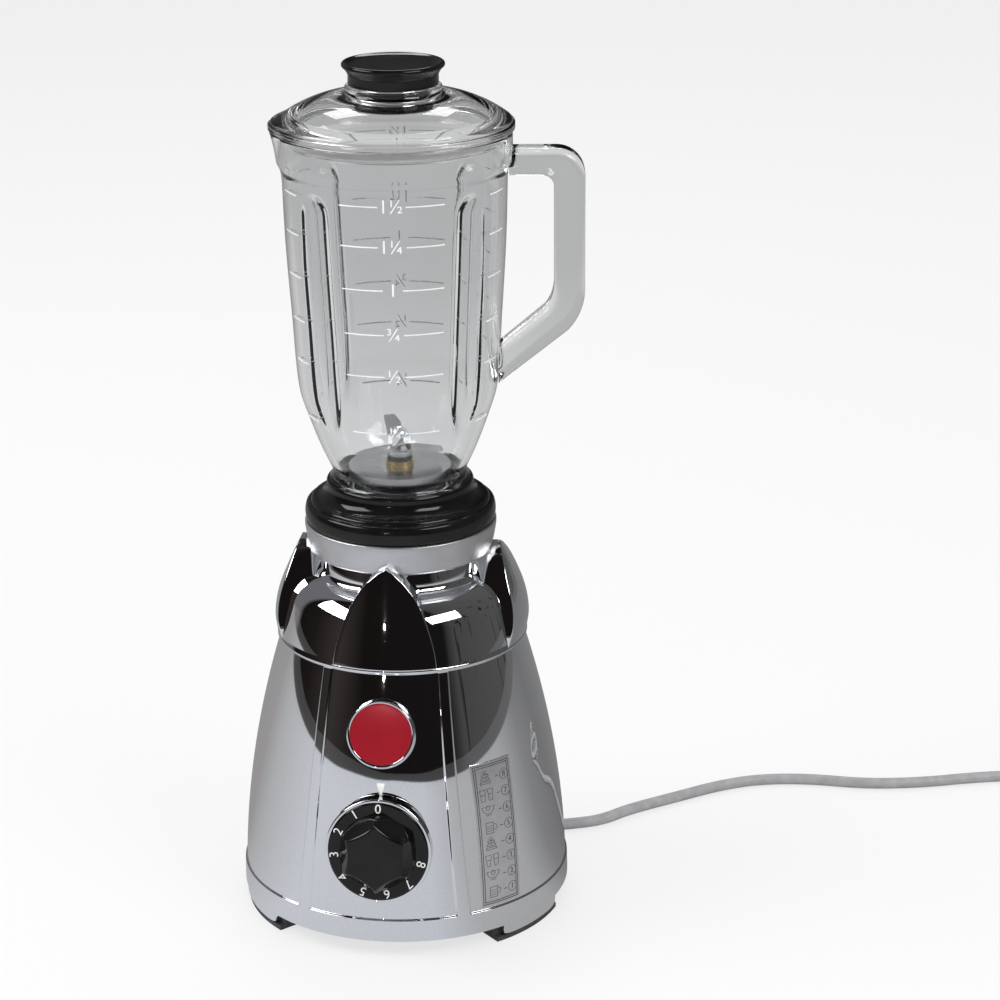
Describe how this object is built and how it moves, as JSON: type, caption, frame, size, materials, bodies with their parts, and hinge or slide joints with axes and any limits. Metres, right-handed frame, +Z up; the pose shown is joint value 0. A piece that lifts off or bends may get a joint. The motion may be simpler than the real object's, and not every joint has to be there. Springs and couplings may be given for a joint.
{
  "type": "countertop blender",
  "caption": "Countertop blender: chromed bell-shaped motor base with front speed dial, black collar, lobed glass jar with handle, clear lid with black stopper, and grey mains lead.",
  "frame": {"origin": "on the motor axis, in the plane that the feet stand on", "axes": "+Z up along the motor axis; -Y is the front with the dial; the jar's handle points to +X, turned 7.3 degrees towards +Y"},
  "size_m": [0.587, 0.4305, 0.5],
  "materials": {
    "chrome": "polished chrome plate on cast metal",
    "seat_aluminium": "satin turned aluminium",
    "plate_steel": "zinc-grey pressed base plate",
    "foot_rubber": "black moulded rubber",
    "grey_rubber": "grey seal rubber",
    "enamel_red": "red enamel",
    "guide_metal": "satin etched plate",
    "bakelite": "glossy black moulding",
    "steel": "ground steel",
    "bearing_steel": "hardened steel",
    "lamination": "stacked laminations",
    "copper": "enamelled copper wire",
    "brass": "machined brass",
    "carbon": "pressed carbon",
    "fan_plastic": "moulded fan",
    "coupling_plastic": "moulded driving dogs",
    "control_plastic": "brown moulded switch case",
    "bracket_metal": "cast bracket",
    "jar_glass": "thick clear pressed glass",
    "lid_clear": "clear moulded plastic",
    "seal_clear": "pale translucent seal",
    "cord_grey": "grey sheathed lead",
    "plug_grey": "grey moulded plug"
  },
  "bodies": {
    "base": {"housing": "chrome", "seat_ring": "seat_aluminium", "deck_seal": "grey_rubber", "base_plate": "plate_steel", "base_plate_screws": "steel", "rubber_feet": "foot_rubber", "badge_rim": "chrome", "badge_disc": "enamel_red", "index_pointer": "chrome", "guide_plate": "guide_metal", "stator_core": "lamination", "field_coils": "copper", "lower_bracket": "bracket_metal", "upper_bracket": "bracket_metal", "motor_mounts": "foot_rubber", "motor_tie_bolts": "steel", "lower_bearing": "bearing_steel", "upper_bearing": "bearing_steel", "brush_holders": "brass", "carbon_brushes": "carbon", "brush_springs": "steel", "speed_control": "control_plastic", "speed_contacts": "brass", "shaft_bush": "brass", "terminal_block": "control_plastic", "suppressor_capacitor": "fan_plastic", "cord_clamp": "control_plastic", "internal_leads": "copper", "cord_gland": "cord_grey", "cord": "cord_grey", "cord_coil": "cord_grey", "plug_body": "plug_grey", "plug_pins": "brass"},
    "rotor": {"motor_shaft": "steel", "armature_core": "lamination", "armature_windings": "copper", "commutator": "copper", "cooling_fan": "fan_plastic", "drive_coupling": "coupling_plastic"},
    "dial": {"dial_knob": "bakelite", "dial_trim": "chrome", "control_shaft": "steel", "control_wiper": "brass"},
    "blade_base": {"jar_collar": "bakelite", "jar_gasket": "grey_rubber", "blade_plate": "steel", "blade_bearing": "brass", "shaft_seal": "foot_rubber"},
    "blades": {"blade_shaft": "steel", "blade_spacer": "steel", "lower_blade": "steel", "upper_blade": "steel", "blade_nut": "chrome", "driven_coupling": "coupling_plastic"},
    "jar": {"glass_jar": "jar_glass"},
    "lid": {"jar_lid": "lid_clear", "lid_seal": "seal_clear"},
    "stopper": {"lid_stopper": "bakelite"}
  },
  "joints": [
    {"name": "rotor_spin", "type": "hinge", "parent": "base", "child": "rotor", "pos_m": [0, 0, 0.1], "axis": [0, 0, 1], "continuous": true},
    {"name": "dial_turn", "type": "hinge", "parent": "base", "child": "dial", "pos_m": [0, -0.09194, 0.0676], "axis": [0, 0.9928, -0.1195], "range_deg": [0, 256]},
    {"name": "blade_base_lift", "type": "slide", "parent": "base", "child": "blade_base", "axis": [0, 0, 1], "range_m": [0, 0.06]},
    {"name": "blade_spin", "type": "hinge", "parent": "blade_base", "child": "blades", "pos_m": [0, 0, 0.27], "axis": [0, 0, 1], "continuous": true},
    {"name": "jar_unscrew", "type": "slide", "parent": "blade_base", "child": "jar", "axis": [0, 0, 1], "range_m": [0, 0.08]},
    {"name": "lid_lift", "type": "slide", "parent": "jar", "child": "lid", "axis": [0, 0, 1], "range_m": [0, 0.05]},
    {"name": "stopper_lift", "type": "slide", "parent": "lid", "child": "stopper", "axis": [0, 0, 1], "range_m": [0, 0.04]}
  ],
  "couplings": [
    {"joint": "blade_spin", "follows": "rotor_spin", "ratio": 1}
  ]
}
